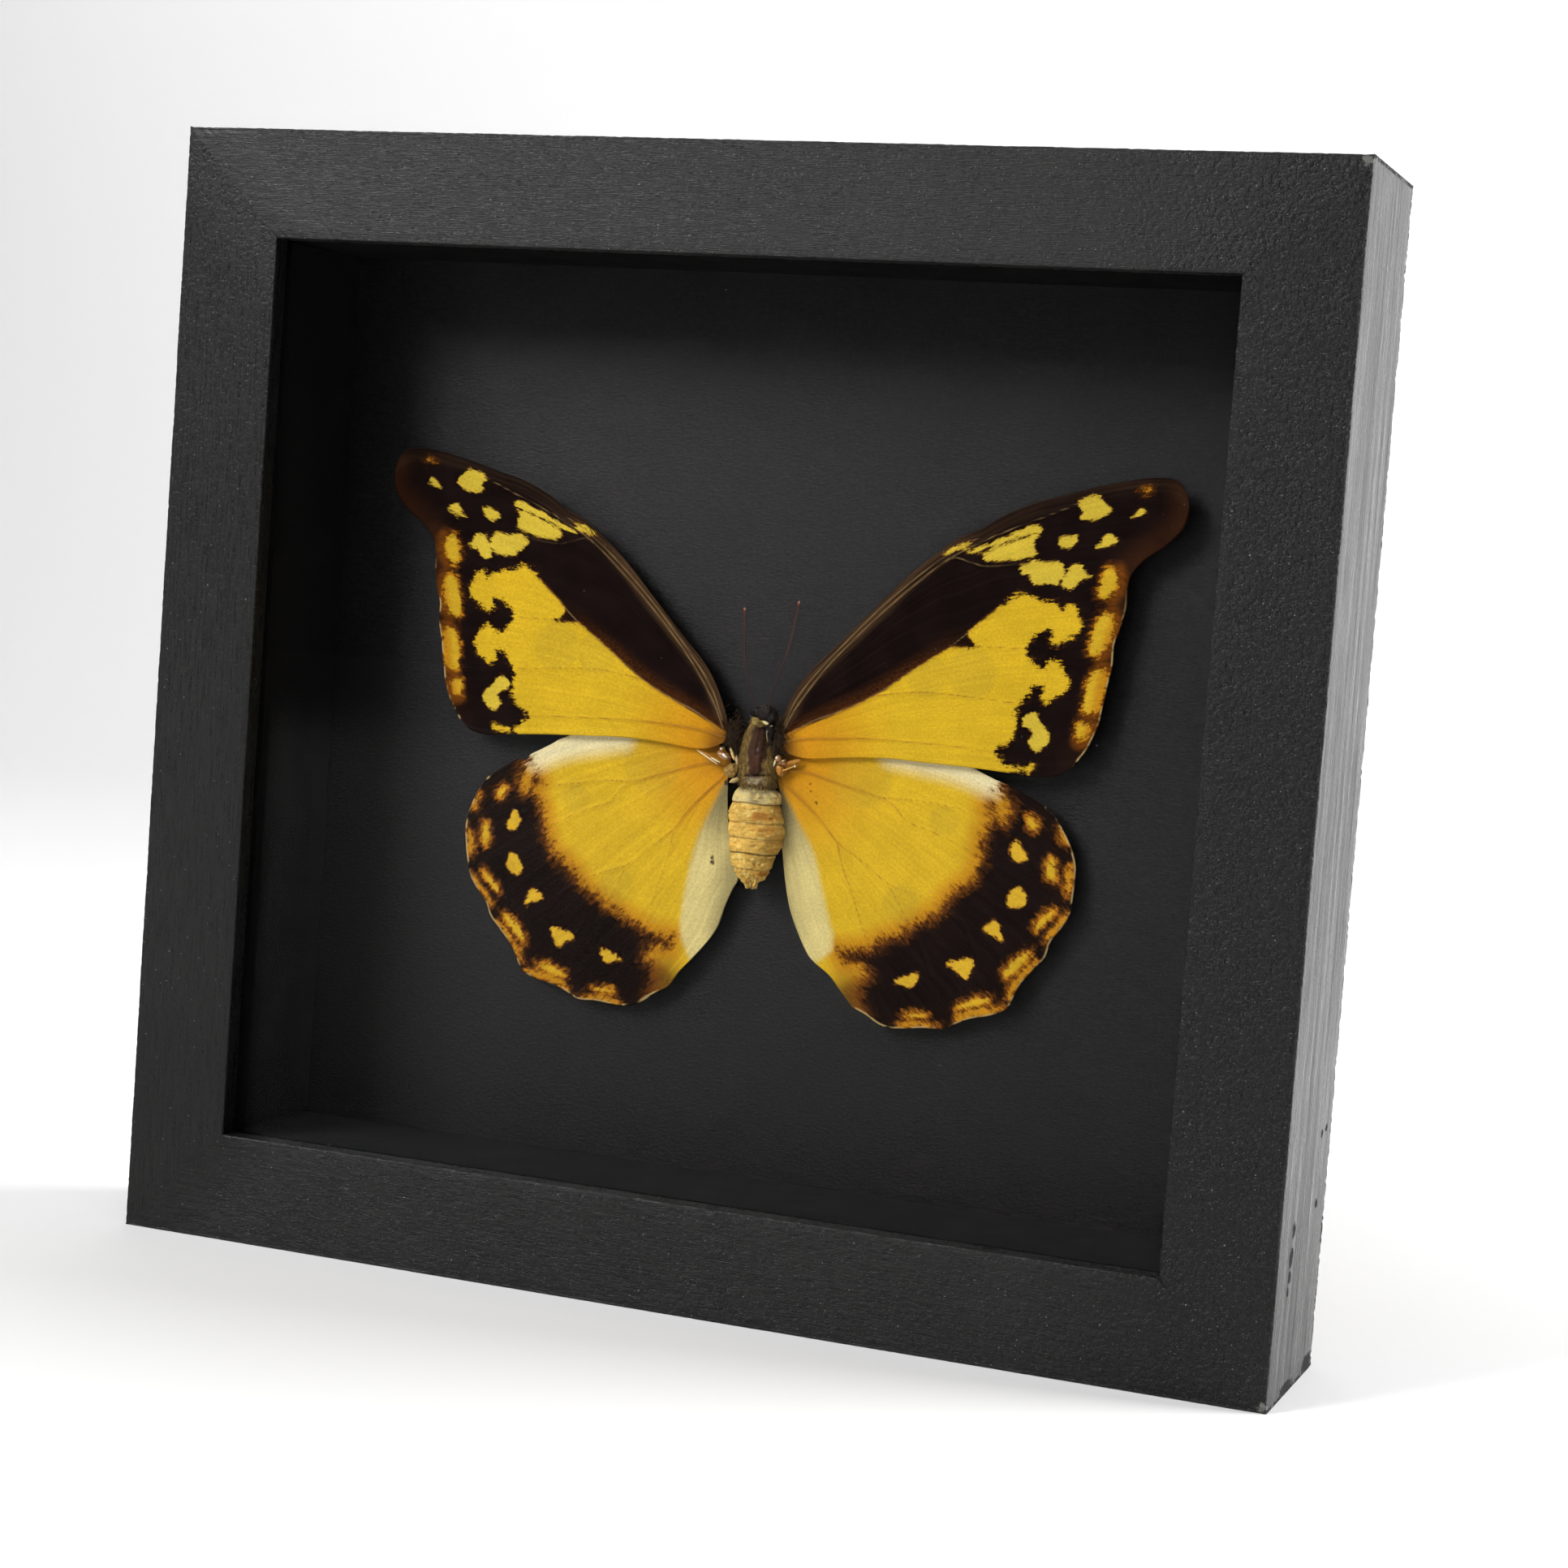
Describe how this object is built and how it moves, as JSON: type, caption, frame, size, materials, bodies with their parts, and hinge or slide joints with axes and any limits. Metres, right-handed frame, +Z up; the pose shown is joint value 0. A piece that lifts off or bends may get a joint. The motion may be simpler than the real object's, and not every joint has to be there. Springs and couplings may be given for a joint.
{
  "type": "framed butterfly specimen",
  "caption": "Spread yellow and dark brown butterfly fixed on a charcoal card inside a deep black wooden shadow-box frame with a clear glass front, standing upright.",
  "frame": {"origin": "middle of the bounding box's underside, level with the bottom rail's lower face", "axes": "+X to the viewer's right along the width, +Y from the front glass into the depth, +Z up"},
  "size_m": [0.2, 0.0382, 0.188],
  "materials": {
    "painted_wood": "thin satin black paint with the grain showing through",
    "pane_glass": "clear polished",
    "spacer_black": "matte black",
    "charcoal_card": "matte laid card",
    "fibreboard": "smooth pressed fibreboard",
    "tab_steel": "zinc-plated sheet",
    "hanger_brass": "brass-plated stamped sheet",
    "nail_steel": "bright steel",
    "dried_glue": "dried clear glue",
    "forewing_membrane": "matte scaled membrane, yellow with dark brown bands",
    "hindwing_membrane": "matte scaled membrane, yellow with a dark brown border",
    "head_chitin": "dark chitin with short hair",
    "thorax_fur": "hairy, with a glossy bare centre",
    "abdomen_plates": "dry, crumbly, ringed",
    "antenna_chitin": "dark red-brown"
  },
  "bodies": {
    "root": {"rail_top": "painted_wood", "rail_bottom": "painted_wood", "rail_left": "painted_wood", "rail_right": "painted_wood", "glass_pane": "pane_glass", "spacer_top": "spacer_black", "spacer_bottom": "spacer_black", "spacer_left": "spacer_black", "spacer_right": "spacer_black", "mount_card": "charcoal_card", "back_board": "fibreboard", "board_tab_1": "tab_steel", "board_tab_2": "tab_steel", "board_tab_3": "tab_steel", "board_tab_4": "tab_steel", "board_tab_5": "tab_steel", "board_tab_6": "tab_steel", "board_tab_7": "tab_steel", "board_tab_8": "tab_steel", "sawtooth_hanger": "hanger_brass", "hanger_nail_left": "nail_steel", "hanger_nail_right": "nail_steel", "glue_pad": "dried_glue", "forewing_left": "forewing_membrane", "forewing_right": "forewing_membrane", "hindwing_left": "hindwing_membrane", "hindwing_right": "hindwing_membrane", "head": "head_chitin", "thorax": "thorax_fur", "abdomen": "abdomen_plates", "antenna_left": "antenna_chitin", "antenna_right": "antenna_chitin"}
  },
  "joints": []
}
